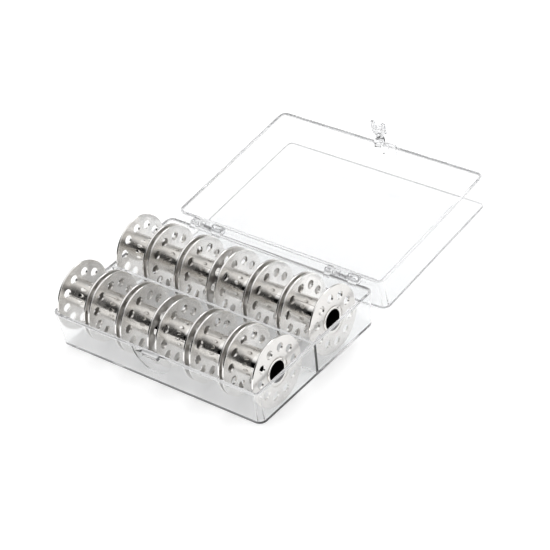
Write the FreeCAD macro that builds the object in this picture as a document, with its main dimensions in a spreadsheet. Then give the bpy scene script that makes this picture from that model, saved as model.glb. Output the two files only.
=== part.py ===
# A hinged clear storage case for sewing-machine bobbins, opened out flat, with twelve metal bobbins
# standing in two rows. X runs along the case, Y from its front wall to the hinge side and on to the
# opened lid, Z up. The origin is the middle of the base's underside. Millimetres.
import FreeCAD, Part
import os
import re

import Sketcher
from FreeCAD import Placement, Rotation, Vector

doc = FreeCAD.newDocument("bobbin_case")

# ---------------------------------------------------------------------------------------------------
# Driving dimensions
# ---------------------------------------------------------------------------------------------------
SIZES = [
    ("case_length", 75.2, "outer length at the rim"),
    ("case_width", 52.5, "outer width at the rim"),
    ("base_height", 11.35, "base, underside to rim"),
    ("lid_height", 11.5, "lid, outside of its panel to its rim"),
    ("draft", 0.75, "lean of each outer wall over its height"),
    ("inner_draft", 0.65, "lean of each inner wall over its height"),
    ("wall", 0.9, "wall thickness at the rim"),
    ("floor_thick", 0.72, "thickness of the floor and of the lid's panel"),
    ("corner_radius", 2.4, "outer vertical corners"),
    ("inner_corner_radius", 1.0, "inner vertical corners"),
    ("foot_radius", 0.5, "rounding of the outer bottom edges"),
    ("divider_thick", 0.95, "wall between the two rows"),
    ("divider_y", -1.1, "front face of that wall"),
    ("divider_top", 11.0, "its top edge"),
    ("axis_offset", 1.55, "hinge axis behind the rear wall"),
    ("rim_gap", 0.1, "between the two rims when shut"),
    ("lid_tilt", 5.2, "the opened lid short of flat, degrees"),
    ("hinge_spacing", 49.8, "between the middles of the two hinges"),
    ("hinge_shift", 0.5, "middle of the hinge pair from the middle of the case"),
    ("knuckle_radius", 1.3, "lugs and cheeks of the hinge"),
    ("barrel_radius", 1.0, "barrel between the lid's cheeks"),
    ("pin_radius", 0.8, "hinge pin, moulded on the lid"),
    ("pin_play", 0.05, "radial clearance of the pin in its lug"),
    ("clip_slot", 1.3, "mouth of the lug that the pin snaps through"),
    ("root_depth", 0.4, "how far lugs, latch and catch root in a wall"),
    ("catch_width", 5.6, "catch on the front wall"),
    ("catch_height", 1.5, "catch, down from the rim"),
    ("catch_depth", 0.8, "catch, out from the wall"),
    ("recess_radius", 7.0, "half-round finger recess under the catch"),
    ("recess_depth", 0.3, "depth of that recess"),
    ("tab_x", -1.3, "middle of the lid's latch tab"),
    ("tab_half", 2.45, "half its width"),
    ("stem_half", 1.2, "half the width of its stem"),
    ("tab_standoff", 1.25, "inner face of the tab from the lid's wall"),
    ("tab_thick", 0.9, "thickness of the tab"),
    ("tab_shoulder", 2.0, "rim to where the tab reaches its full width"),
    ("tab_notch", 4.3, "rim to the bottom of the notch between the ears"),
    ("tab_reach", 5.7, "rim to the tips of the ears"),
    ("ear_width", 1.1, "each ear at the tab's tip"),
    ("window_half", 0.9, "half the width of the window in the tab"),
    ("barb_depth", 0.3, "barb, in from the tab's inner face"),
    ("rib_width", 0.7, "each rib beside the latch"),
    ("rib_length", 4.0, "their length down from the rim"),
    ("rib_proud", 0.6, "how far they stand out of the wall"),
    ("bobbin_radius", 10.25, "flange radius"),
    ("bobbin_width", 10.7, "over both flanges"),
    ("flange_thick", 0.6, "flange thickness"),
    ("flange_edge", 0.12, "rounding of the flange's edge"),
    ("hole_radius", 1.3, "sight holes in the flanges"),
    ("hole_circle", 7.0, "radius of the circle they lie on"),
    ("hub_radius", 4.0, "outside of the hub"),
    ("neck_radius", 3.45, "hub where it passes through a flange"),
    ("lip_radius", 3.75, "staked lip at each end of the hub"),
    ("dish_radius", 4.25, "dish in the flange that the lip lies in"),
    ("dish_depth", 0.3, "depth of that dish"),
    ("bore_radius", 3.05, "hole for the winder spindle"),
    ("seat_gap", 0.03, "under each bobbin"),
    ("front_row_y", -14.92, "axis of the front row"),
    ("rear_row_y", 10.25, "axis of the rear row"),
]
# The loose bobbins stand where they were dropped: the left face of each, from the case's left end,
# and how far each has rolled, in degrees, as its left and its right flange were pressed on.
ROWS = {
    "front": ([1.65, 13.45, 25.4, 38.38, 50.66, 62.36], [0.5, 14, 26, 28, 32, 20], 13),
    "rear": ([1.65, 13.46, 25.3, 38.57, 50.48, 62.05], [19, 29, 16, 20, 23, 17], 0),
}
HOLES = 10

sheet = doc.addObject("Spreadsheet::Sheet", "Sizes")


def put_in_sheet(alias, content, note=""):
    """Adds one named cell."""
    row = put_in_sheet.row = getattr(put_in_sheet, "row", 0) + 1
    sheet.set(f"A{row}", note)
    sheet.set(f"B{row}", str(content))
    sheet.setAlias(f"B{row}", alias)


for alias, value, note in SIZES:
    put_in_sheet(alias, value, note)
for row_name, (faces, turns, _) in ROWS.items():
    for number, (face, turn) in enumerate(zip(faces, turns), 1):
        put_in_sheet(f"{row_name}_{number}_face", face, "left face of that bobbin")
        put_in_sheet(f"{row_name}_{number}_turn", turn, "how far it has rolled")
put_in_sheet("axis_y", "=case_width / 2 + axis_offset", "hinge axis")
put_in_sheet("lid_axis_z", "=lid_height + rim_gap", "hinge axis above the lid's panel")
put_in_sheet("bobbin_axis_z", "=floor_thick + seat_gap + bobbin_radius", "bobbin axes")
doc.recompute()


def size(alias):
    return float(sheet.get(alias))


def bind(obj, **expressions):
    """Ties properties to the sheet; a double underscore in a keyword stands for a dot."""
    for path, expression in expressions.items():
        tied = re.sub(r"[a-z]\w*", lambda word: "Sizes." * (word[0] in ALIASES) + word[0], expression)
        obj.setExpression(path.replace("__", "."), tied)


ALIASES = {sheet.getAlias(f"B{row}") for row in range(1, put_in_sheet.row + 1)}


def at(obj, x="0", y="0", z="0"):
    """Ties the place of an object to the sheet."""
    bind(obj, Placement__Base__x=x, Placement__Base__y=y, Placement__Base__z=z)


def box(name, x, y, z):
    """A block between three pairs of limits, each pair given as (low, high)."""
    block = doc.addObject("Part::Box", name)
    bind(block, Length=f"({x[1]}) - ({x[0]})", Width=f"({y[1]}) - ({y[0]})",
         Height=f"({z[1]}) - ({z[0]})")
    at(block, x[0], y[0], z[0])
    return block


def bar(name, radius, x, y, z):
    """A round bar along X between the limits x, on the axis y, z."""
    rod = doc.addObject("Part::Cylinder", name)
    rod.Placement = Placement(Vector(), Rotation(Vector(0, 1, 0), 90))
    bind(rod, Radius=radius, Height=f"({x[1]}) - ({x[0]})")
    at(rod, x[0], y, z)
    return rod


def fuse(name, *shapes):
    joined = doc.addObject("Part::MultiFuse", name)
    joined.Shapes = list(shapes)
    joined.Refine = True
    return joined


def cut(name, body, tool):
    trimmed = doc.addObject("Part::Cut", name)
    trimmed.Base, trimmed.Tool = body, tool
    return trimmed


# ---------------------------------------------------------------------------------------------------
# Case halves: two drafted trays
# ---------------------------------------------------------------------------------------------------
def drafted_block(body, kind, name, height, start, half_top, half_foot):
    """A block that widens upwards from half_foot to half_top, both given as (half length, half width)."""
    block = body.newObject(kind, name)
    block.Placement = Placement(Vector(), Rotation(Vector(1, 0, 0), 90))
    bind(block, Xmin=f"-({half_foot[0]})", Xmax=half_foot[0], Zmin=f"-({half_foot[1]})",
         Zmax=half_foot[1], X2min=f"-({half_top[0]})", X2max=half_top[0],
         Z2min=f"-({half_top[1]})", Z2max=half_top[1], Ymin=start, Ymax=height)
    doc.recompute()
    return block


def upright_edges(shape, near):
    """The four leaning corner edges whose feet are at the height near."""
    names = []
    for number, edge in enumerate(shape.Edges, 1):
        heights = sorted(v.Z for v in edge.Vertexes)
        if len(heights) == 2 and abs(heights[0] - near) < 1e-6 and heights[1] > near + 1:
            names.append(f"Edge{number}")
    return names


def foot_edges(shape):
    return [f"Edge{n}" for n, edge in enumerate(shape.Edges, 1)
            if all(abs(v.Z) < 1e-6 for v in edge.Vertexes)]


def round_off(body, feature, edges, radius):
    rounding = body.newObject("PartDesign::Fillet", f"{feature.Name}_rounding")
    rounding.Base = (feature, edges)
    bind(rounding, Radius=radius)
    doc.recompute()
    return rounding


def drafted_tray(name, height):
    """An open tray centred on Z, its underside at Z = 0, with drafted walls and rounded corners."""
    tray = doc.addObject("PartDesign::Body", name)
    half_length, half_width = "case_length / 2", "case_width / 2"
    outside = drafted_block(
        tray, "PartDesign::AdditiveWedge", f"{name}_outside", height, "0",
        (half_length, half_width), (f"{half_length} - draft", f"{half_width} - draft"))
    corners = round_off(tray, outside, upright_edges(outside.Shape, 0), "corner_radius")
    foot = round_off(tray, corners, foot_edges(corners.Shape), "foot_radius")
    solid_volume = foot.Shape.Volume
    inside = drafted_block(
        tray, "PartDesign::SubtractiveWedge", f"{name}_inside", height, "floor_thick",
        (f"{half_length} - wall", f"{half_width} - wall"),
        (f"{half_length} - wall - inner_draft", f"{half_width} - wall - inner_draft"))
    round_off(tray, inside, upright_edges(inside.Shape, size("floor_thick")), "inner_corner_radius")
    assert tray.Shape.Volume < 0.4 * solid_volume, f"{name} isn't hollow"
    return tray


# ---------------------------------------------------------------------------------------------------
# Base: tray, divider, front catch with its finger recess, two clip lugs for each hinge
# ---------------------------------------------------------------------------------------------------
HINGES = {"left": "hinge_shift - hinge_spacing / 2", "right": "hinge_shift + hinge_spacing / 2"}
OPEN_LUG = ("-5.6", "-3.6")     # from the middle of a hinge
BLIND_LUG = ("2.8", "5.8")
CHEEKS = (("-2.8", "-1.6"), ("1.2", "2.4"))
PIN_ENDS = ("-5.5", "5.4")


def shifted(limits, middle):
    return tuple(f"({middle}) + ({limit})" for limit in limits)


def clip_lug(name, middle, limits):
    """A knuckle on the rear wall, bored for the pin, with a mouth on top that the pin snaps through."""
    x = shifted(limits, middle)
    knuckle = bar(f"{name}_knuckle", "knuckle_radius", x, "axis_y", "base_height")
    web = box(f"{name}_web", x, ("case_width / 2 - root_depth", "axis_y"),
              ("base_height - knuckle_radius", "base_height - rim_gap"))
    lug = fuse(f"{name}_solid", knuckle, web)
    bore = bar(f"{name}_bore", "pin_radius + pin_play", x, "axis_y", "base_height")
    mouth = box(f"{name}_mouth", x, ("axis_y - clip_slot / 2", "axis_y + clip_slot / 2"),
                ("base_height", "base_height + 2 * knuckle_radius"))
    return cut(name, lug, fuse(f"{name}_opening", bore, mouth))


def finger_recess():
    """A half-round dip in the outer face of the front wall, square to its lean."""
    dip = doc.addObject("Part::Cylinder", "finger_recess")
    dip.Placement = Placement(Vector(), Rotation(Vector(1, 0, 0), 90))
    bind(dip, Radius="recess_radius", Height="recess_depth + 5",
         Placement__Rotation__Angle="atan(draft / base_height) + 90 deg")
    at(dip, "0", "recess_depth - case_width / 2", "base_height")
    return dip


def front_catch():
    """The rounded ledge under the front rim that the lid's tab closes over."""
    ledge = doc.addObject("PartDesign::Body", "front_catch")
    block = ledge.newObject("PartDesign::AdditiveBox", "catch_block")
    bind(block, Length="catch_width", Width="catch_depth + wall", Height="catch_height")
    doc.recompute()
    outer = [f"Edge{n}" for n, edge in enumerate(block.Shape.Edges, 1)
             if all(v.Y < 1e-6 for v in edge.Vertexes)]
    round_off(ledge, block, outer, "0.35")
    at(ledge, "-catch_width / 2", "-case_width / 2 - catch_depth", "base_height - catch_height")
    return ledge


def base_tray():
    tray = drafted_tray("base_shell", "base_height")
    half_inside = "case_length / 2 - wall / 2"
    divider = box("row_divider", (f"inner_draft - ({half_inside})", f"{half_inside} - inner_draft"),
                  ("divider_y", "divider_y + divider_thick"), ("floor_thick / 2", "divider_top"))
    dipped = cut("dipped_shell", tray, finger_recess())
    lugs = []
    for side, middle in HINGES.items():
        lugs.append(clip_lug(f"{side}_open_lug", middle, OPEN_LUG))
        lugs.append(clip_lug(f"{side}_blind_lug", middle, BLIND_LUG))
    return fuse("base_tray", dipped, divider, front_catch(), *lugs)


# ---------------------------------------------------------------------------------------------------
# Lid: tray, two knuckles with their pins, latch tab with its ribs
# ---------------------------------------------------------------------------------------------------
def lid_knuckle(side, middle):
    """The lid's part of one hinge: two cheeks and a barrel on a pin that reaches into both lugs."""
    axis_y, axis_z = "-axis_y", "lid_axis_z"
    parts = [bar(f"{side}_pin", "pin_radius", shifted(PIN_ENDS, middle), axis_y, axis_z)]
    root = ("-axis_y", "root_depth - case_width / 2")
    for number, limits in enumerate(CHEEKS, 1):
        x = shifted(limits, middle)
        parts.append(bar(f"{side}_cheek_{number}", "knuckle_radius", x, axis_y, axis_z))
        parts.append(box(f"{side}_cheek_web_{number}", x, root,
                         ("lid_axis_z - knuckle_radius", "lid_height")))
    barrel = shifted((CHEEKS[0][1], CHEEKS[1][0]), middle)
    parts.append(bar(f"{side}_barrel", "barrel_radius", barrel, axis_y, axis_z))
    parts.append(box(f"{side}_barrel_web", barrel, root,
                     ("lid_axis_z - barrel_radius", "lid_height")))
    return fuse(f"{side}_knuckle", *parts)


def plate(name, outline, y):
    """A flat plate square to Y: an outline of (x, z) expressions, from the latch's middle and the rim."""
    body = doc.addObject("PartDesign::Body", name)
    sketch = body.newObject("Sketcher::SketchObject", f"{name}_outline")
    plane = next(f for f in body.Origin.OriginFeatures if f.Role == "XZ_Plane")
    sketch.AttachmentSupport = [(plane, "")]
    sketch.MapMode = "FlatFace"
    corners = [Vector(evaluate(x), evaluate(z), 0) for x, z in outline]
    count = len(corners)
    for n in range(count):
        sketch.addGeometry(Part.LineSegment(corners[n], corners[(n + 1) % count]), False)
    for n in range(count):
        sketch.addConstraint(Sketcher.Constraint("Coincident", n, 2, (n + 1) % count, 1))
    for n, (x, z) in enumerate(outline):
        for direction, value, expression in (("DistanceX", corners[n].x, x), ("DistanceY", corners[n].y, z)):
            index = sketch.addConstraint(Sketcher.Constraint(direction, n, 1, value))
            bind(sketch, **{f"Constraints[{index}]": expression})
    pad = body.newObject("PartDesign::Pad", f"{name}_pad")
    pad.Profile = sketch
    bind(pad, Length=f"({y[1]}) - ({y[0]})")
    at(body, "tab_x", f"{y[1]}", "lid_height")
    return body


def evaluate(expression):
    """The value of an expression in the sheet's names."""
    return float(sheet.evalExpression(expression))


def latch_tab():
    """A springy tab beyond the lid's front rim: stem, shoulders, notched tip, window and inner barb."""
    edge = "case_width / 2"
    faces = (f"{edge} + tab_standoff", f"{edge} + tab_standoff + tab_thick")
    half = [("stem_half", "-2.2"), ("stem_half", "0.8"), ("tab_half", "tab_shoulder"),
            ("tab_half", "tab_notch"), ("tab_half - 0.3", "tab_reach"),
            ("tab_half - ear_width", "tab_reach"), ("tab_half - ear_width", "tab_notch")]
    outline = half + [(f"-({x})", z) for x, z in reversed(half)]
    tab = plate("latch_plate", outline, faces)
    window = box("latch_window", ("tab_x - window_half", "tab_x + window_half"),
                 (faces[0], faces[1]), ("lid_height + 1.5", "lid_height + 3.4"))
    x = ("tab_x - stem_half", "tab_x + stem_half")
    bracket = box("latch_bracket", x, (f"{edge} - root_depth", faces[1]), ("lid_height - 2.2", "lid_height"))
    barb = box("latch_barb", ("tab_x - 1.6", "tab_x + 1.6"), (f"{faces[0]} - barb_depth", faces[0]),
               ("lid_height + 3.5", "lid_height + tab_notch"))
    return fuse("latch", cut("latch_pierced", tab, window), bracket, barb)


def latch_ribs():
    """Three short ribs beside the latch, down the outside of the wall, under a bar along the rim."""
    proud = ("case_width / 2 - root_depth", "case_width / 2 + rib_proud")
    starts = ("0.3", "1.9", "4.7")
    ribs = [box(f"latch_rib_{n}", (start, f"{start} + rib_width"), proud,
                ("lid_height - rib_length", "lid_height")) for n, start in enumerate(starts, 1)]
    rail = box("latch_rail", (starts[1], f"{starts[2]} + rib_width"), proud,
               ("lid_height - 0.9", "lid_height"))
    return ribs + [rail]


def lid():
    tray = drafted_tray("lid_shell", "lid_height")
    knuckles = [lid_knuckle(side, middle) for side, middle in HINGES.items()]
    cover = fuse("lid", tray, latch_tab(), *latch_ribs(), *knuckles)
    cover.Placement = Placement(Vector(), Rotation(Vector(1, 0, 0), size("lid_tilt")))
    across, along = "cos(lid_tilt * 1 deg)", "sin(lid_tilt * 1 deg)"
    bind(cover, Placement__Rotation__Angle="lid_tilt")
    at(cover, "0", f"axis_y + axis_y * {across} + lid_axis_z * {along}",
       f"base_height + axis_y * {along} - lid_axis_z * {across}")
    return cover


# ---------------------------------------------------------------------------------------------------
# Bobbins: a rolled hub staked into two pierced flanges
# ---------------------------------------------------------------------------------------------------
def ring_sketch(body, name, *radii):
    """Concentric circles on the plane square to X."""
    sketch = body.newObject("Sketcher::SketchObject", name)
    plane = next(f for f in body.Origin.OriginFeatures if f.Role == "YZ_Plane")
    sketch.AttachmentSupport = [(plane, "")]
    sketch.MapMode = "FlatFace"
    for index, alias in enumerate(radii):
        sketch.addGeometry(Part.Circle(Vector(), Vector(0, 0, 1), size(alias)), False)
        sketch.addConstraint(Sketcher.Constraint("Coincident", index, 3, -1, 1))
        radius = sketch.addConstraint(Sketcher.Constraint("Radius", index, size(alias)))
        bind(sketch, **{f"Constraints[{radius}]": alias})
    return sketch


def padded(body, sketch, length):
    pad = body.newObject("PartDesign::Pad", f"{sketch.Name}_pad")
    pad.Profile = sketch
    bind(pad, Length=length)
    return pad


def flange(name):
    """A stamped disc from X = 0 to its thickness: outer face at 0, dished, with a ring of round holes."""
    disc = doc.addObject("PartDesign::Body", name)
    blank = padded(disc, ring_sketch(disc, f"{name}_blank", "bobbin_radius", "neck_radius"), "flange_thick")
    doc.recompute()
    round_off(disc, blank, rim_edges(blank.Shape), "flange_edge")
    dish = disc.newObject("PartDesign::SubtractiveCylinder", f"{name}_dish")
    dish.Placement = Placement(Vector(), Rotation(Vector(0, 1, 0), 90))
    bind(dish, Radius="dish_radius", Height="dish_depth")
    doc.recompute()
    hole = disc.newObject("PartDesign::SubtractiveCylinder", f"{name}_hole")
    hole.Placement = Placement(Vector(), Rotation(Vector(0, 1, 0), 90))
    bind(hole, Radius="hole_radius", Height="flange_thick", Placement__Base__y="hole_circle")
    doc.recompute()
    ring = disc.newObject("PartDesign::PolarPattern", f"{name}_holes")
    ring.Originals = [hole]
    ring.Axis = (next(f for f in disc.Origin.OriginFeatures if f.Role == "X_Axis"), [""])
    ring.Angle = 360
    ring.Occurrences = HOLES
    disc.Tip = ring
    return disc


def rim_edges(shape):
    """The two full circles at the outside of a disc."""
    names = []
    for number, edge in enumerate(shape.Edges, 1):
        if isinstance(edge.Curve, Part.Circle) and abs(edge.Curve.Radius - size("bobbin_radius")) < 1e-6:
            names.append(f"Edge{number}")
    return names


def hub(name):
    """A tube between the flanges, with necks through them and a staked lip at each end."""
    tube = doc.addObject("PartDesign::Body", name)
    lengths = {
        "lip_radius": ("0.02", "dish_depth"),
        "neck_radius": ("0.02", "bobbin_width - 0.02"),
        "hub_radius": ("flange_thick", "bobbin_width - flange_thick"),
        "far_lip": ("bobbin_width - dish_depth", "bobbin_width - 0.02"),
    }
    for alias, (low, high) in lengths.items():
        piece = tube.newObject("PartDesign::AdditiveCylinder", f"{name}_{alias}")
        piece.Placement = Placement(Vector(), Rotation(Vector(0, 1, 0), 90))
        radius = "lip_radius" if alias == "far_lip" else alias
        bind(piece, Radius=radius, Height=f"({high}) - ({low})", Placement__Base__x=low)
        doc.recompute()
    bore = tube.newObject("PartDesign::SubtractiveCylinder", f"{name}_bore")
    bore.Placement = Placement(Vector(), Rotation(Vector(0, 1, 0), 90))
    bind(bore, Radius="bore_radius", Height="bobbin_width")
    return tube


def bobbin(row, number, right_turn):
    """One bobbin of a row: returns its hub and its left and right flanges, each at its place."""
    name = f"{row}_bobbin_{number}"
    face = f"{row}_{number}_face - case_length / 2"
    pieces = [hub(f"{name}_hub"), flange(f"{name}_left_flange"), flange(f"{name}_right_flange")]
    turn = size(f"{row}_{number}_turn")
    about_x = Rotation(Vector(1, 0, 0), turn)
    facing_back = Rotation(Vector(0, 0, 1), 180)
    turned_on = Rotation(Vector(1, 0, 0), turn + right_turn)
    for piece, turning, x in zip(pieces, (about_x, about_x, turned_on * facing_back),
                                 (face, face, f"{face} + bobbin_width")):
        piece.Placement = Placement(Vector(), turning)
        at(piece, x, f"{row}_row_y", "bobbin_axis_z")
    return pieces


# ---------------------------------------------------------------------------------------------------
# Build, check and write
# ---------------------------------------------------------------------------------------------------
nodes = [base_tray(), lid()]
for row_name, (faces, _, right_turn) in ROWS.items():
    for number in range(1, len(faces) + 1):
        nodes += bobbin(row_name, number, right_turn)
doc.recompute()

for obj in doc.Objects:
    assert not {"Invalid", "Error"} & set(obj.State), f"{obj.Name}: {obj.State}"
os.makedirs("parts", exist_ok=True)
for node in nodes:
    shape = node.Shape
    assert not shape.isNull() and shape.isValid() and len(shape.Solids) == 1, node.Label
    shape.exportStep(f"parts/{node.Label}.step")
    limits = shape.BoundBox
    print(f"{node.Label}: {shape.Volume:.1f} mm3, z {limits.ZMin:.3f} to {limits.ZMax:.3f}")
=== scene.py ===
import math

import bpy
from mathutils import Euler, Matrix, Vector


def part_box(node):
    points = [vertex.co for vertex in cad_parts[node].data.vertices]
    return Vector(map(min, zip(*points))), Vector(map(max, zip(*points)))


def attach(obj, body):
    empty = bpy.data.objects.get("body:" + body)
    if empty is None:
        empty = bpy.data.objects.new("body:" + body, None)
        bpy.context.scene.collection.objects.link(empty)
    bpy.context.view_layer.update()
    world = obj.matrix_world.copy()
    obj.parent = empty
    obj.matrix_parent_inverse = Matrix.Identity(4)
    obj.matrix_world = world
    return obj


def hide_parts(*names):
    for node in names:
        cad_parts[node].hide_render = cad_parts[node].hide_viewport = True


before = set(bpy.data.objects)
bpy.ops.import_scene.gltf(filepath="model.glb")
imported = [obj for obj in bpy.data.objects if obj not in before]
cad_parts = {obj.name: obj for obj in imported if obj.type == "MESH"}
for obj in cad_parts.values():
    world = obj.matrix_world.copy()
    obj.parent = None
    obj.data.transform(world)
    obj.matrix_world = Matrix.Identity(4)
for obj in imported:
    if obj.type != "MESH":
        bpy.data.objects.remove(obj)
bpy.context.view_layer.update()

# ---------------------------------------------------------------------------------------------------
# Studio: a pale, faintly lit floor in even white light, with a softbox above the far left. Only mirror
# reflections see the room's walls: dark in front of the case, grey behind, white off its right end.
# ---------------------------------------------------------------------------------------------------
scene = bpy.context.scene
scene.view_settings.view_transform = "Standard"
scene.cycles.max_bounces = scene.cycles.transmission_bounces = scene.cycles.transparent_max_bounces = 24
scene.cycles.glossy_bounces = 12

camera = bpy.data.cameras.new("camera")
camera.lens = 141.886
camera.clip_start, camera.clip_end = 0.01, 20
camera_object = bpy.data.objects.new("camera", camera)
scene.collection.objects.link(camera_object)
scene.camera = camera_object
azimuth, elevation, roll = math.radians(43.935), math.radians(36.109), math.radians(-9.438)
aim, distance = Vector((-0.0023, 0.0295, 0)), 0.63105
back = Vector((math.sin(azimuth) * math.cos(elevation), -math.cos(azimuth) * math.cos(elevation),
               math.sin(elevation)))
camera_object.rotation_mode = "QUATERNION"
camera_object.rotation_quaternion = (-back).to_track_quat("-Z", "Y") @ Euler((0, 0, roll)).to_quaternion()
camera_object.location = aim + distance * back


class Socket:
    """A shader socket whose arithmetic adds Math nodes, and whose node() adds any other."""

    def __init__(self, tree, link):
        self.tree, self.link = tree, link

    def node(self, kind, settings=None, output=0, **sockets):
        """Adds a node: its settings first, then its inputs by name or by position as in_0."""
        made = self.tree.nodes.new(kind)
        for name, value in (settings or {}).items():
            if name == "stops":
                while len(made.color_ramp.elements) < len(value):
                    made.color_ramp.elements.new(0.5)
                for stop, (place, colour) in zip(made.color_ramp.elements, value):
                    stop.position, stop.color = place, (*colour, 1)
            else:
                setattr(made, name, value)
        for name, value in sockets.items():
            key = int(name[3:]) if name.startswith("in_") else name.replace("_", " ")
            target = made.inputs[key]
            if isinstance(value, Socket):
                self.tree.links.new(value.link, target)
            else:
                target.default_value = value
        return Socket(self.tree, made.outputs[output]) if made.outputs else None

    def maths(self, operation, other=0.0, swap=False):
        first, second = (other, self) if swap else (self, other)
        return self.node("ShaderNodeMath", {"operation": operation}, in_0=first, in_1=second)

    def __add__(self, other):
        return self.maths("ADD", other)

    def __mul__(self, other):
        return self.maths("MULTIPLY", other)

    def __sub__(self, other):
        return self.maths("SUBTRACT", other)

    def __rsub__(self, other):
        return self.maths("SUBTRACT", other, swap=True)

    __radd__, __rmul__ = __add__, __mul__


def new_tree(owner):
    owner.use_nodes = True
    owner.node_tree.nodes.clear()
    return Socket(owner.node_tree, None)


def blend(factor, low, high, first, second):
    """Goes smoothly from the first colour to the second as the factor rises from low to high."""
    share = factor.node("ShaderNodeMapRange", {"interpolation_type": "SMOOTHSTEP"}, "Result",
                        Value=factor, From_Min=low, From_Max=high)
    return factor.node("ShaderNodeMix", {"data_type": "RGBA"}, 2, in_0=share, in_6=first, in_7=second)


def wall(height, greys):
    """A wall whose grey changes with height, from pairs of height and grey."""
    return height.node("ShaderNodeValToRGB", {"stops": [(place, (grey,) * 3) for place, grey in greys]},
                       Fac=height)


world = bpy.data.worlds.new("white_room")
scene.world = world
room = new_tree(world)
direction = room.node("ShaderNodeTexCoord")
across, depth, height = (room.node("ShaderNodeSeparateXYZ", None, axis, Vector=direction) for axis in "XYZ")
front = wall(height - across * 0.13,
             [(0.0, 0.0), (0.5, 0.0), (0.61, 0.03), (0.7, 0.38), (0.78, 0.8), (0.87, 1.15)])
rear = wall(height, [(0.0, 0.47), (0.36, 0.38), (0.46, 0.45), (0.59, 0.7), (0.75, 0.9), (0.85, 1.0)])
walls = blend(depth, -0.15, 0.25, front, rear)
walls = blend(across, 0.66, 0.8, walls, (0.9, 0.9, 0.9, 1))
mirrored, scattered = (room.node("ShaderNodeLightPath", None, kind)
                       for kind in ("Is Reflection Ray", "Is Diffuse Ray"))
shade = room.node("ShaderNodeMix", {"data_type": "RGBA"}, 2, in_0=mirrored * (1 - scattered),
                  in_6=(1, 1, 1, 1), in_7=walls)
sky = room.node("ShaderNodeBackground", Color=shade)
room.node("ShaderNodeOutputWorld", in_0=sky)

softbox = bpy.data.lights.new("softbox", "AREA")
softbox.shape, softbox.size, softbox.energy = "SQUARE", 0.4, 1.3
softbox_object = bpy.data.objects.new("softbox", softbox)
softbox_object.location = (-0.19, 0.5, 0.75)
shine = Vector((0, 0.02, 0)) - softbox_object.location
softbox_object.rotation_euler = shine.to_track_quat("-Z", "Y").to_euler()
scene.collection.objects.link(softbox_object)

bpy.ops.object.select_all(action="DESELECT")
bpy.ops.mesh.primitive_plane_add(size=6, location=(0, 0, -0.00002))
floor = bpy.context.object
floor.name = "floor"
floor_paint = bpy.data.materials.new("white_floor")
paint = new_tree(floor_paint)
surface = paint.node("ShaderNodeBsdfPrincipled", Base_Color=(0.88, 0.88, 0.88, 1), Roughness=0.7,
                     Emission_Color=(1, 1, 1, 1), Emission_Strength=0.24)
paint.node("ShaderNodeOutputMaterial", in_0=surface)
floor.data.materials.append(floor_paint)

# ---------------------------------------------------------------------------------------------------
# Base of the case: injection-moulded clear polystyrene. A drafted tray with rounded corners and rim,
# a wall between the two rows, a catch over a half-round finger recess, and clip lugs on the rear wall.
# ---------------------------------------------------------------------------------------------------
MM = 0.001
CASE_LENGTH, CASE_WIDTH, BASE_HEIGHT, LID_HEIGHT = 75.2, 52.5, 11.35, 11.5
DRAFT, INNER_DRAFT, WALL, FLOOR_THICK = 0.75, 0.65, 0.9, 0.72
CORNER, INNER_CORNER, FOOT, INNER_FOOT, EDGE_ROUND = 2.4, 1.0, 0.5, 0.3, 0.12
SIDE = CASE_WIDTH / 2
ROOT = 0.4      # how far what stands on a wall reaches into it
SHY = 0.02      # how far below the rim its top stops
RECESS_RADIUS, RECESS_DEPTH = 7.0, 0.3
DIVIDER_END, DIVIDER_FACES, DIVIDER_TOP = 37.0, (-1.1, -0.15), 11.0
CATCH_HALF, CATCH_OUT, CATCH_TALL, CATCH_ROUND = 2.8, 0.8, 1.5, 0.35
AXIS_Y, AXIS_Z = SIDE + 1.55, BASE_HEIGHT
HINGE_MIDDLES = (0.5 - 24.9, 0.5 + 24.9)
LUG_RADIUS, LUG_BORE, LUG_MOUTH = 1.3, 0.85, 1.3
LUG_SPANS = ((-5.6, -3.6), (2.8, 5.8))


def clear_selection():
    if bpy.context.mode != "OBJECT":
        bpy.ops.object.mode_set(mode="OBJECT")
    bpy.ops.object.select_all(action="DESELECT")


def pick(shape, edges=None, faces=None):
    """In edit mode, selects the edges or faces for which the given test on their vertices holds."""
    bpy.ops.mesh.select_mode(type="EDGE" if edges else "FACE")
    bpy.ops.mesh.select_all(action="DESELECT")
    bpy.ops.object.mode_set(mode="OBJECT")
    mesh = shape.data
    test = edges or faces
    for element in (mesh.edges if edges else mesh.polygons):
        element.select = bool(test([mesh.vertices[v].co for v in element.vertices]))
    bpy.ops.object.mode_set(mode="EDIT")


def block(name, x, y, z):
    """A block between limits in millimetres."""
    clear_selection()
    bpy.ops.mesh.primitive_cube_add(size=1, location=[sum(pair) / 2 * MM for pair in (x, y, z)],
                                    scale=[(pair[1] - pair[0]) * MM for pair in (x, y, z)])
    bpy.context.object.name = name
    bpy.ops.object.transform_apply(location=True, rotation=True, scale=True)
    return bpy.context.object


def rod(name, radius, x, y, z, sides=40):
    """A round rod along X between the limits x, in millimetres."""
    clear_selection()
    bpy.ops.mesh.primitive_cylinder_add(vertices=sides, radius=radius * MM, depth=(x[1] - x[0]) * MM,
                                        location=(sum(x) / 2 * MM, y * MM, z * MM),
                                        rotation=(0, math.pi / 2, 0))
    bpy.context.object.name = name
    bpy.ops.object.transform_apply(location=True, rotation=True, scale=True)
    return bpy.context.object


def combine(shape, tools, operation="UNION"):
    """Joins the tools to the shape, or cuts them from it, and deletes them."""
    for tool in tools:
        modifier = shape.modifiers.new("combine", "BOOLEAN")
        modifier.operation, modifier.object, modifier.solver = operation, tool, "EXACT"
        clear_selection()
        bpy.context.view_layer.objects.active = shape
        bpy.ops.object.modifier_apply(modifier=modifier.name)
        bpy.data.objects.remove(tool)
    return shape


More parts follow.
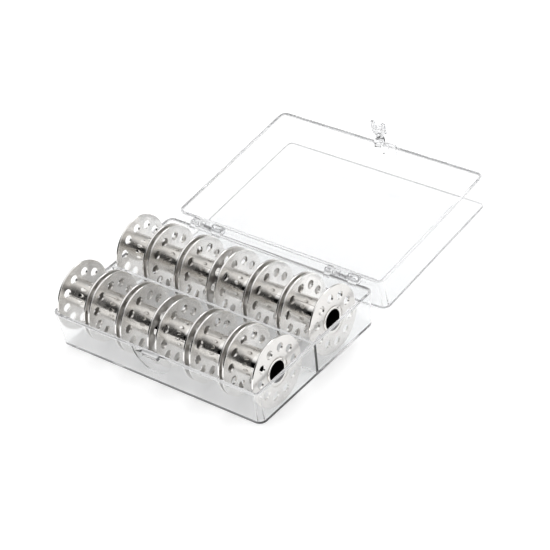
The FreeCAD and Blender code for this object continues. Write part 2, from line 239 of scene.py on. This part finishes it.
def soften(shape, radius, steps=2, angle=35):
    """Rounds every sharp edge a little, as moulded or tumbled edges are."""
    modifier = shape.modifiers.new("soften", "BEVEL")
    modifier.width, modifier.segments, modifier.limit_method = radius * MM, steps, "ANGLE"
    modifier.angle_limit, modifier.harden_normals = math.radians(angle), True
    clear_selection()
    shape.select_set(True)
    bpy.context.view_layer.objects.active = shape
    bpy.ops.object.shade_smooth()
    bpy.ops.object.modifier_apply(modifier=modifier.name)
    return shape


def drafted(name, length, width, low, high, draft, corner, foot):
    """A block with rounded upright edges and foot, whose sides lean in by the draft towards its foot."""
    shape = block(name, (-length / 2, length / 2), (-width / 2, width / 2), (low, high))
    bottom = low * MM + 1e-6
    bpy.ops.object.mode_set(mode="EDIT")
    pick(shape, faces=lambda vs: all(v.z < bottom for v in vs))
    bpy.ops.transform.resize(value=(1 - 2 * draft / length, 1 - 2 * draft / width, 1))
    pick(shape, edges=lambda vs: abs(vs[0].z - vs[1].z) > 1e-3)
    bpy.ops.mesh.bevel(offset=corner * MM, segments=8, affect="EDGES")
    pick(shape, edges=lambda vs: all(v.z < bottom for v in vs))
    bpy.ops.mesh.bevel(offset=foot * MM, segments=4, affect="EDGES")
    clear_selection()
    return shape


def tray(name, height):
    """An open drafted tray with its underside at Z = 0."""
    shape = drafted(name, CASE_LENGTH, CASE_WIDTH, 0, height, DRAFT, CORNER, FOOT)
    hollow = drafted("hollow", CASE_LENGTH - 2 * WALL, CASE_WIDTH - 2 * WALL, FLOOR_THICK, height,
                     INNER_DRAFT, INNER_CORNER, INNER_FOOT)
    bpy.ops.object.mode_set(mode="EDIT")
    pick(hollow, faces=lambda vs: all(v.z > height * MM - 1e-6 for v in vs))
    bpy.ops.mesh.extrude_region_move(TRANSFORM_OT_translate={"value": (0, 0, MM)})
    clear_selection()
    return combine(shape, [hollow], "DIFFERENCE")


def finish_piece(piece, name, body, slot, material, *nodes):
    """Names a finished piece, gives it its material, hides the CAD nodes it replaces and ties it to its CAD
    body. The slot is not used.
    """
    piece.name = piece.data.name = name
    piece.data.materials.clear()
    piece.data.materials.append(material)
    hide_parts(*nodes)
    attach(piece, body)


def fade(value, start, end, first, last):
    """Goes evenly from the first number to the last as the value goes from start to end."""
    return value.node("ShaderNodeMapRange", None, "Result", Value=value, From_Min=start, From_Max=end,
                      To_Min=first, To_Max=last)


def clear_styrene(name, refraction, upwards, underside, rim_height, rim_painted_shade, front_painted_reflection, foot_painted_light, painted_grey):
    """Almost colourless, glossy styrene with faint flow waves, mixed with a grey diffuse layer: painted
    shade along its rim and wherever it is seen edge-on, a pale painted reflection on its front wall and
    painted light on its rounded foot.
    Lamps shine through it with a small loss."""
    plastic = bpy.data.materials.new(name)
    tree = new_tree(plastic)
    place = tree.node("ShaderNodeTexCoord", None, "Object")
    waves = tree.node("ShaderNodeTexNoise", None, "Fac", Vector=place, Scale=60.0, Detail=2.0)
    marks = tree.node("ShaderNodeTexNoise", None, "Fac", Vector=place, Scale=900.0, Detail=3.0)
    relief = tree.node("ShaderNodeBump", None, Height=waves, Strength=0.12, Distance=0.0004)
    solid = tree.node("ShaderNodeBsdfPrincipled", Base_Color=(0.985, 0.988, 0.99, 1),
                      Roughness=marks * 0.03 + 0.01, Transmission_Weight=1.0, IOR=refraction, Normal=relief)
    # A grey diffuse layer: painted shade along the rim and edge-on, a painted reflection on the front wall,
    # painted light on the foot.
    painted_light_and_shade = tree.node("ShaderNodeBsdfDiffuse", Color=painted_grey)

    outside = 1 - tree.node("ShaderNodeNewGeometry", None, "Backfacing")
    depth = tree.node("ShaderNodeSeparateXYZ", None, "Y", Vector=place)
    front = fade(depth, -0.0255, -0.024, front_painted_reflection, 0.0)
    level = tree.node("ShaderNodeVectorMath", {"operation": "DOT_PRODUCT"}, "Value",
                      in_0=place, in_1=upwards)
    rim = fade(level, rim_height - 0.6 * MM, rim_height - 0.2 * MM, 0.0, rim_painted_shade)
    rim_top = fade(level, rim_height - 0.04 * MM, rim_height - 0.01 * MM, 1.0, 0.45)
    foot = fade(level, underside + FOOT * MM, underside + 0.8 * MM, foot_painted_light, 0.0)
    off_the_panel = fade(level, underside + 0.01 * MM, underside + 0.04 * MM, 0.0, 1.0)
    facing = tree.node("ShaderNodeLayerWeight", None, "Facing", Blend=0.5)
    edge_on = facing.maths("POWER", 5.0) * 0.5
    # How much of the grey layer is mixed in: painted reflection on the front wall, painted shade at the rim
    # and edge-on, painted light on the foot.
    painted_share = front * outside * (waves + 0.5) + rim * rim_top + foot * off_the_panel + edge_on * outside
    painted_mix = tree.node("ShaderNodeMixShader", in_0=painted_share, in_1=solid, in_2=painted_light_and_shade)

    lamp_side = tree.node("ShaderNodeBsdfTransparent", Color=(0.94, 0.945, 0.95, 1))
    shadow = tree.node("ShaderNodeLightPath", None, "Is Shadow Ray")
    both = tree.node("ShaderNodeMixShader", in_0=shadow, in_1=painted_mix, in_2=lamp_side)
    tree.node("ShaderNodeOutputMaterial", in_0=both)
    return plastic


base = tray("base", BASE_HEIGHT)
dip = rod("dip", RECESS_RADIUS, (-4.0, RECESS_DEPTH), 0, 0, 64)
dip.rotation_euler = (0, -math.atan(DRAFT / BASE_HEIGHT), math.pi / 2)
dip.location = (0, -SIDE * MM, BASE_HEIGHT * MM)
combine(base, [dip], "DIFFERENCE")
additions = [block("divider", (-DIVIDER_END, DIVIDER_END), DIVIDER_FACES, (FLOOR_THICK - 0.3, DIVIDER_TOP))]
catch = block("catch", (-CATCH_HALF, CATCH_HALF), (-SIDE - CATCH_OUT, -SIDE + ROOT),
              (BASE_HEIGHT - CATCH_TALL, BASE_HEIGHT - SHY))
bpy.ops.object.mode_set(mode="EDIT")
pick(catch, edges=lambda vs: all(v.y < (-SIDE - CATCH_OUT + 0.1) * MM for v in vs))
bpy.ops.mesh.bevel(offset=CATCH_ROUND * MM, segments=4, affect="EDGES")
clear_selection()
additions.append(catch)
for middle in HINGE_MIDDLES:
    for start, end in LUG_SPANS:
        span = (middle + start, middle + end)
        lug = rod("lug", LUG_RADIUS, span, AXIS_Y, AXIS_Z)
        web = block("web", span, (SIDE - ROOT, AXIS_Y), (AXIS_Z - LUG_RADIUS, AXIS_Z - 0.1))
        combine(lug, [web])
        wide = (span[0] - 1, span[1] + 1)
        bore = rod("bore", LUG_BORE, wide, AXIS_Y, AXIS_Z, 32)
        mouth = block("mouth", wide, (AXIS_Y - LUG_MOUTH / 2, AXIS_Y + LUG_MOUTH / 2),
                      (AXIS_Z, AXIS_Z + 2 * LUG_RADIUS))
        combine(lug, [bore, mouth], "DIFFERENCE")
        additions.append(lug)
combine(base, additions)
soften(base, EDGE_ROUND)
# On the base the grey layer paints shade along the rim and edge-on, and a pale painted reflection over the
# front wall.
base_styrene = clear_styrene(
    "clear_styrene_base", refraction=1.45, upwards=(0, 0, 1), underside=0.0, rim_height=BASE_HEIGHT * MM,
    rim_painted_shade=0.55, front_painted_reflection=0.12, foot_painted_light=0.0, painted_grey=(0.8, 0.8, 0.81, 1))
finish_piece(base, "case_base", "base", "clear_plastic_base", base_styrene, "base_tray")

# ---------------------------------------------------------------------------------------------------
# Lid: the same clear moulding, laid back on its panel. Two knuckles with their pins are moulded on the
# near wall, and a notched, windowed latch tab with its ribs on the far one. It is made level and laid
# back last.
# ---------------------------------------------------------------------------------------------------
TILT = math.radians(5.2)
lid_axis_y, lid_axis_z = -AXIS_Y, LID_HEIGHT + 0.1
PIN_RADIUS, PIN_SPAN = 0.8, (-5.5, 5.4)
BARREL_RADIUS, BARREL_SPAN = 1.0, (-1.7, 1.3)
CHEEK_SPANS = ((-2.8, -1.6), (1.2, 2.4))
TAB_X, TAB_HALF, TAB_NEAR, TAB_FAR = -1.3, 2.45, SIDE + 1.25, SIDE + 2.15
TAB_ROOT, SHOULDER, NOTCH_BOTTOM, EAR_TIP = 2.2, 0.8, 4.3, 5.7
WINDOW_HALF, WINDOW_BOTTOM, WINDOW_TOP = 0.9, 1.5, 3.4
NOTCH_HALF, STEM_HALF, WAIST_END, WAIST_SLOPE = 1.35, 1.2, 4.2, 2.88
RIB_STARTS, RIB_WIDTH, RIB_LENGTH, RIB_PROUD = (0.3, 1.9, 4.7), 0.7, 4, 0.6

lid = tray("lid_moulding", LID_HEIGHT)
additions = []
for middle in HINGE_MIDDLES:
    span = (middle + PIN_SPAN[0], middle + PIN_SPAN[1])
    knuckle = rod("knuckle", PIN_RADIUS, span, lid_axis_y, lid_axis_z)
    span = (middle + BARREL_SPAN[0], middle + BARREL_SPAN[1])
    parts = [rod("barrel", BARREL_RADIUS, span, lid_axis_y, lid_axis_z),
             block("barrel_web", span, (lid_axis_y, ROOT - SIDE),
                   (lid_axis_z - BARREL_RADIUS, LID_HEIGHT - SHY))]
    for start, end in CHEEK_SPANS:
        span = (middle + start, middle + end)
        parts.append(rod("cheek", LUG_RADIUS, span, lid_axis_y, lid_axis_z))
        parts.append(block("cheek_web", span, (lid_axis_y, ROOT - SIDE),
                           (lid_axis_z - LUG_RADIUS, LID_HEIGHT - SHY / 2)))
    additions.append(combine(knuckle, parts))

through = (SIDE, SIDE + 4)
tab = block("tab", (TAB_X - TAB_HALF, TAB_X + TAB_HALF), (TAB_NEAR, TAB_FAR),
            (LID_HEIGHT - TAB_ROOT, LID_HEIGHT + EAR_TIP))
notch = block("notch", (TAB_X - NOTCH_HALF, TAB_X + NOTCH_HALF), through,
              (LID_HEIGHT + NOTCH_BOTTOM, LID_HEIGHT + 9))
window = block("window", (TAB_X - WINDOW_HALF, TAB_X + WINDOW_HALF), through,
               (LID_HEIGHT + WINDOW_BOTTOM, LID_HEIGHT + WINDOW_TOP))
cuts = [notch, window]
for side in (-1, 1):
    inner, outer = TAB_X + side * STEM_HALF, TAB_X + side * WAIST_END
    waist = block("waist", sorted((inner, outer)), through, (LID_HEIGHT - 4, LID_HEIGHT + SHOULDER))
    bpy.ops.object.mode_set(mode="EDIT")
    pick(waist, edges=lambda vs: all(abs(v.x - outer * MM) < 1e-6 and v.z > LID_HEIGHT * MM for v in vs))
    bpy.ops.transform.translate(value=(0, 0, WAIST_SLOPE * MM))
    clear_selection()
    cuts.append(waist)
combine(tab, cuts, "DIFFERENCE")
bracket = block("bracket", (-2.5, -0.1), (SIDE - ROOT, TAB_FAR), (LID_HEIGHT - TAB_ROOT, LID_HEIGHT - SHY))
barb = block("barb", (-2.9, 0.3), (TAB_NEAR - 0.3, TAB_NEAR + 0.05),
             (LID_HEIGHT + 3.5, LID_HEIGHT + NOTCH_BOTTOM))
combine(tab, [bracket, barb])
additions.append(tab)
for start in RIB_STARTS:
    additions.append(block("rib", (start, start + RIB_WIDTH), (SIDE - ROOT, SIDE + RIB_PROUD),
                           (LID_HEIGHT - RIB_LENGTH, LID_HEIGHT - SHY)))
rail = block("rail", (RIB_STARTS[1], RIB_STARTS[2] + RIB_WIDTH), (SIDE - ROOT, SIDE + RIB_PROUD),
             (LID_HEIGHT - 0.9, LID_HEIGHT - SHY))
combine(additions[-1], [rail])
combine(lid, additions)
soften(lid, EDGE_ROUND)
lid.rotation_euler = (TILT, 0, 0)
lid.location = (0, (AXIS_Y + AXIS_Y * math.cos(TILT) + lid_axis_z * math.sin(TILT)) * MM,
                (AXIS_Z + AXIS_Y * math.sin(TILT) - lid_axis_z * math.cos(TILT)) * MM)
underside = lid.location.z * math.cos(TILT) - lid.location.y * math.sin(TILT)
clear_selection()
lid.select_set(True)
bpy.context.view_layer.objects.active = lid
bpy.ops.object.transform_apply(location=True, rotation=True, scale=True)
# On the lid the grey layer paints shade along the rim and edge-on, and painted light over the rounded foot.
lid_styrene = clear_styrene(
    "clear_styrene_lid", refraction=1.42, upwards=(0, -math.sin(TILT), math.cos(TILT)), underside=underside,
    rim_height=underside + LID_HEIGHT * MM, rim_painted_shade=0.65, front_painted_reflection=0.0, foot_painted_light=0.85,
    painted_grey=(0.77, 0.77, 0.78, 1))
finish_piece(lid, "case_lid", "lid", "clear_plastic_lid", lid_styrene, "lid")

# ---------------------------------------------------------------------------------------------------
# Bobbins: nickel-plated steel. A hub rolled from sheet, with its seam showing, is staked at each end
# into a stamped flange with ten sight holes and a dish round the lip.
# ---------------------------------------------------------------------------------------------------
RADIUS, WIDTH, FLANGE_THICK = 10.25, 10.7, 0.6
BORE, NECK, LIP, HUB, DISH, DISH_DEPTH = 3.05, 3.45, 3.75, 4.0, 4.25, 0.3
HOLES, HOLE_RADIUS, HOLE_CIRCLE = 10, 1.3, 7.0
# How far each bobbin has rolled, in degrees, and how much further its right flange is turned.
ROLLED = {"front": ([0.5, 14, 26, 28, 32, 20], 13), "rear": ([19, 29, 16, 20, 23, 17], 0)}
# Where the seam of each hub has come to rest, in degrees.
SEAMS = {"front": [70, 10, 30, 340, 5, 350], "rear": [40, 0, 25, 350, 30, 20]}


def turned(name, profile, steps):
    """A ring turned about the X axis from a closed profile of (x, radius) corners in millimetres."""
    clear_selection()
    bpy.ops.mesh.primitive_plane_add(size=1)
    shape = bpy.context.object
    shape.name = name
    bpy.ops.object.mode_set(mode="EDIT")
    bpy.ops.mesh.select_mode(type="VERT")
    bpy.ops.mesh.select_all(action="SELECT")
    bpy.ops.mesh.merge(type="CENTER")
    bpy.ops.transform.translate(value=(profile[0][0] * MM, 0, profile[0][1] * MM))
    for (x0, r0), (x1, r1) in zip(profile, profile[1:] + profile[:1]):
        bpy.ops.mesh.extrude_region_move(
            TRANSFORM_OT_translate={"value": ((x1 - x0) * MM, 0, (r1 - r0) * MM)})
    bpy.ops.mesh.select_all(action="SELECT")
    bpy.ops.mesh.remove_doubles(threshold=1e-6)
    bpy.ops.mesh.spin(steps=steps, angle=math.tau, center=(0, 0, 0), axis=(1, 0, 0))
    bpy.ops.mesh.select_all(action="SELECT")
    bpy.ops.mesh.remove_doubles(threshold=1e-6)
    bpy.ops.mesh.normals_make_consistent(inside=False)
    clear_selection()
    return shape


def nickel(name, colour, roughness, streaks, relief=0.0, dents=0.0):
    """Bright nickel plate with fine turning or rolling streaks and faint unevenness."""
    metal = bpy.data.materials.new(name)
    tree = new_tree(metal)
    place = tree.node("ShaderNodeTexCoord", None, "Object")
    stretched = tree.node("ShaderNodeMapping", None, Vector=place, Scale=streaks)
    lines = tree.node("ShaderNodeTexNoise", None, "Fac", Vector=stretched, Scale=1.0, Detail=3.0)
    blotches = tree.node("ShaderNodeTexNoise", None, "Fac", Vector=place, Scale=260.0, Detail=2.0)
    tint = tree.node("ShaderNodeValToRGB",
                     {"stops": [(0.3, tuple(c * 0.93 for c in colour)), (0.7, colour)]}, Fac=blotches)
    hollows = tree.node("ShaderNodeTexNoise", None, "Fac", Vector=place, Scale=230.0, Detail=1.0)
    fine = tree.node("ShaderNodeBump", None, Height=lines * 0.3 + blotches, Strength=relief, Distance=0.0001)
    broad = tree.node("ShaderNodeBump", None, Height=hollows, Strength=dents, Distance=0.0001, Normal=fine)
    shader = tree.node("ShaderNodeBsdfPrincipled", Base_Color=tint, Metallic=1.0,
                       Roughness=lines * 0.04 + blotches * 0.02 + roughness, Normal=broad)
    tree.node("ShaderNodeOutputMaterial", in_0=shader)
    return metal


hub_nickel = nickel("nickel_hub", (0.86, 0.842, 0.815), 0.005, (300, 2500, 2500), relief=0.02, dents=0.7)
# The inner faces' pale nickel is lightened as painted light against the shade inside the case; the outer
# faces get a darker copy as painted shade.
flange_nickel = nickel("nickel_flange", (0.96, 0.946, 0.925), 0.2, (900, 900, 900))
outer_face_painted_shade = nickel("nickel_outside_painted_shade", (0.78, 0.765, 0.745), 0.25, (900, 900, 900))
rim_nickel = nickel("nickel_rim", (0.95, 0.935, 0.915), 0.06, (900, 900, 900))
# Near-black nickel for the inside of the hub's bore: painted shade in the hole.
bore_painted_shade = nickel("nickel_bore_painted_shade", (0.06, 0.05, 0.045), 0.35, (2500, 2500, 2500), relief=0.05)

hub_profile = [(0.06, BORE), (0.02, 3.2), (0.02, 3.6), (0.08, 3.72), (0.2, LIP), (DISH_DEPTH, 3.7),
               (DISH_DEPTH, NECK), (FLANGE_THICK, NECK), (FLANGE_THICK, HUB)]
hub_profile += [(WIDTH - x, r) for x, r in reversed(hub_profile)]
hub_master = turned("hub_master", hub_profile, 96)
seam = block("seam", (FLANGE_THICK + 0.05, WIDTH - FLANGE_THICK - 0.05), (-0.06, 0.06), (3.85, 4.3))
combine(hub_master, [seam], "DIFFERENCE")
soften(hub_master, 0.03, 1)

flange_profile = [(0, 4.3), (0, RADIUS - 0.2), (0.02, RADIUS - 0.11), (0.09, RADIUS - 0.03), (0.2, RADIUS),
                  (FLANGE_THICK - 0.2, RADIUS), (FLANGE_THICK - 0.09, RADIUS - 0.03),
                  (FLANGE_THICK - 0.02, RADIUS - 0.11), (FLANGE_THICK, RADIUS - 0.2), (FLANGE_THICK, NECK),
                  (DISH_DEPTH, NECK), (DISH_DEPTH, 4.15), (0.25, DISH)]
flange_master = turned("flange_master", flange_profile, 128)
punches = []
for number in range(HOLES):
    turn = math.tau * number / HOLES
    y, z = HOLE_CIRCLE * math.cos(turn), HOLE_CIRCLE * math.sin(turn)
    punches.append(rod("punch", HOLE_RADIUS, (-1, 2), y, z, 32))
combine(flange_master, punches, "DIFFERENCE")
soften(flange_master, 0.07, 2, 50)


def copied(master, name, turning, x, y, z):
    """A copy of a master shape, turned, moved and made one with its place."""
    copy = master.copy()
    copy.data = master.data.copy()
    copy.name = name
    scene.collection.objects.link(copy)
    copy.rotation_euler, copy.location = turning, (x, y, z)
    clear_selection()
    copy.select_set(True)
    bpy.context.view_layer.objects.active = copy
    bpy.ops.object.transform_apply(location=True, rotation=True, scale=True)
    return copy


def from_axis(polygon, y, z):
    """How far a face's middle is from a bobbin's axis."""
    return math.hypot(polygon.center.y - y, polygon.center.z - z)


def finish_faces(plate, outside, y, z):
    """Gives a flange its bright sheared rim, and its outer face, which points along outside, a darker nickel
    as painted shade.
    """
    plate.data.materials.append(rim_nickel)
    plate.data.materials.append(outer_face_painted_shade)
    for polygon in plate.data.polygons:
        if from_axis(polygon, y, z) > (RADIUS - 0.1) * MM:
            polygon.material_index = 1
        # Outer faces take the darker nickel: painted shade.
        elif polygon.normal.x * outside > 0.5:
            polygon.material_index = 2


for row, (turns, right_turn) in ROLLED.items():
    for number, (turn, seam_turn) in enumerate(zip(turns, SEAMS[row]), 1):
        name = f"{row}_bobbin_{number}"
        low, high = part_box(f"{name}_hub")
        left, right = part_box(f"{name}_left_flange")[0].x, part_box(f"{name}_right_flange")[1].x
        y, z = (low.y + high.y) / 2, (low.z + high.z) / 2
        hub = copied(hub_master, "hub", (math.radians(seam_turn), 0, 0), left, y, z)
        finish_piece(hub, f"{name}_core", name, "plated_steel_hub", hub_nickel, f"{name}_hub")
        hub.data.materials.append(bore_painted_shade)
        # Faces round the bore take the near-black painted shade.
        for polygon in hub.data.polygons:
            polygon.material_index = int(from_axis(polygon, y, z) < (BORE + 0.07) * MM)
        plate = copied(flange_master, "flange", (math.radians(turn), 0, 0), left, y, z)
        finish_piece(plate, f"{name}_left_plate", name, "plated_steel_flange", flange_nickel,
                     f"{name}_left_flange")
        finish_faces(plate, -1, y, z)
        turning = (Euler((math.radians(turn + right_turn), 0, 0)).to_matrix()
                   @ Euler((0, 0, math.pi)).to_matrix()).to_euler()
        plate = copied(flange_master, "flange", turning, right, y, z)
        finish_piece(plate, f"{name}_right_plate", name, "plated_steel_flange", flange_nickel,
                     f"{name}_right_flange")
        finish_faces(plate, 1, y, z)
for master in (hub_master, flange_master):
    bpy.data.objects.remove(master)
